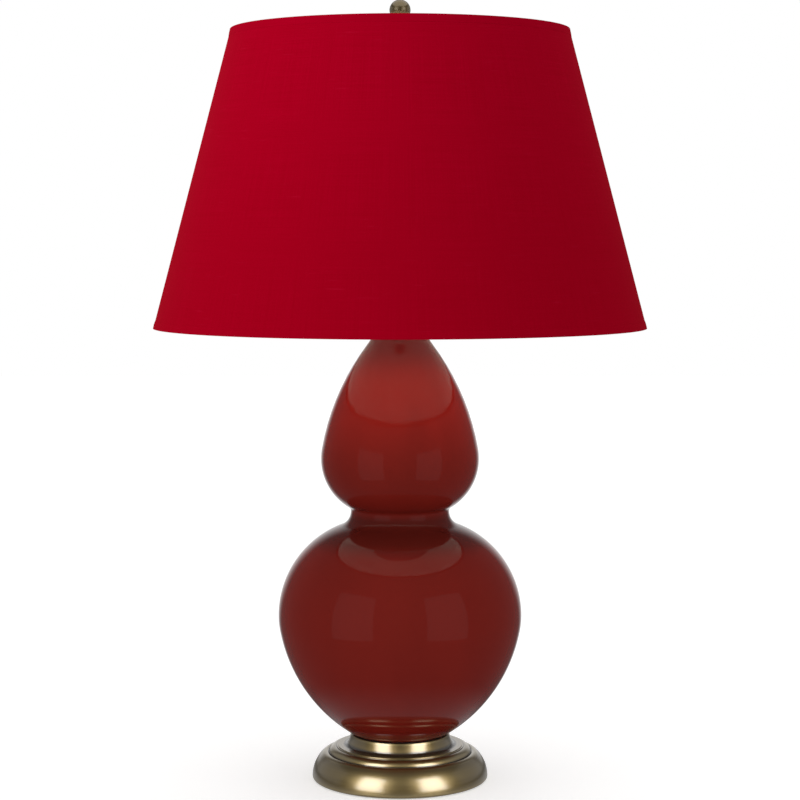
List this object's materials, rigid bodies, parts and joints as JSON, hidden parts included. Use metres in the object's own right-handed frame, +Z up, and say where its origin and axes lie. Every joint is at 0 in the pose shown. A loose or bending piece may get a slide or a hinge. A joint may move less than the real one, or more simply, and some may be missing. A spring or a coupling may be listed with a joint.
{
  "type": "table lamp",
  "caption": "Double gourd ceramic table lamp on a turned metal base, with a harp, a lamp holder and bulb, a cloth empire shade and a ball finial.",
  "frame": {"origin": "centre of the base's underside, on the table", "axes": "+Z up along the lamp's axis, -Y towards the switch, +Y towards the cord inlet"},
  "size_m": [0.4945, 0.4946, 0.7872],
  "materials": {
    "antique_brass": "satin, antiqued, darker in the recesses",
    "oxblood_glaze": "glossy transparent glaze, darker where it pools",
    "red_cloth": "plain weave with fine slubs, matte with a soft sheen",
    "shade_lining": "smooth, off-white",
    "frame_wire": "bright drawn wire",
    "harp_wire": "bright drawn wire",
    "holder_brass": "spun, satin lacquered",
    "finial_brass": "satin, antiqued",
    "zinc_steel": "zinc plated",
    "cast_weight": "rough cast",
    "felt": "pressed felt",
    "seal_rubber": "matte",
    "bushing_plastic": "moulded",
    "fibre_card": "pressed fibre",
    "moulded_core": "moulded phenolic",
    "knob_plastic": "moulded, grooved",
    "contact_metal": "bright stamped",
    "bulb_glass": "frosted",
    "bulb_cap_metal": "rolled thread",
    "bulb_insulator": "glassy black"
  },
  "bodies": {
    "stand": {"base_shell": "antique_brass", "cord_bushing": "bushing_plastic", "base_weight": "cast_weight", "felt_pad": "felt", "rod_washer": "zinc_steel", "lock_washer": "zinc_steel", "rod_nut": "zinc_steel", "threaded_rod": "zinc_steel", "foot_gasket": "seal_rubber", "gourd": "oxblood_glaze", "neck_gasket": "seal_rubber", "vase_cap": "antique_brass", "neck_spacer": "antique_brass", "harp_saddle": "harp_wire", "saddle_nut": "harp_wire", "harp_bow": "harp_wire", "harp_stud": "harp_wire", "socket_cap": "holder_brass", "socket_shell": "holder_brass", "socket_liner": "fibre_card", "socket_core": "moulded_core", "terminal_screws": "contact_metal", "screw_shell": "contact_metal", "centre_contact": "contact_metal"},
    "switch": {"switch_spindle": "zinc_steel", "switch_knob": "knob_plastic"},
    "bulb": {"bulb_glass": "bulb_glass", "bulb_cap": "bulb_cap_metal", "bulb_insulator": "bulb_insulator", "bulb_contact": "bulb_cap_metal"},
    "shade": {"shade_fabric": "red_cloth", "shade_lining": "shade_lining", "shade_frame": "frame_wire", "shade_hub": "frame_wire", "shade_bottom_ring": "frame_wire", "shade_bottom_trim": "red_cloth", "shade_top_trim": "red_cloth"},
    "finial": {"finial_knob": "finial_brass", "finial_insert": "finial_brass"},
    "left_sleeve": {"harp_sleeve_left": "harp_wire"},
    "right_sleeve": {"harp_sleeve_right": "harp_wire"}
  },
  "joints": [
    {"name": "switch_knob_turn", "type": "hinge", "parent": "stand", "child": "switch", "pos_m": [0, -0.0285, 0.5369], "axis": [0, -1, 0], "continuous": true},
    {"name": "shade_swivel", "type": "hinge", "parent": "stand", "child": "shade", "pos_m": [0, 0, 0.7426], "axis": [0, 0, 1], "continuous": true},
    {"name": "finial_lift", "type": "slide", "parent": "stand", "child": "finial", "axis": [0, 0, 1], "range_m": [0, 0.03]},
    {"name": "bulb_lift", "type": "slide", "parent": "stand", "child": "bulb", "axis": [0, 0, 1], "range_m": [0, 0.026]},
    {"name": "harp_sleeve_left_lift", "type": "slide", "parent": "stand", "child": "left_sleeve", "axis": [0, 0, 1], "range_m": [0, 0.016]},
    {"name": "harp_sleeve_right_lift", "type": "slide", "parent": "stand", "child": "right_sleeve", "axis": [0, 0, 1], "range_m": [0, 0.016]}
  ]
}
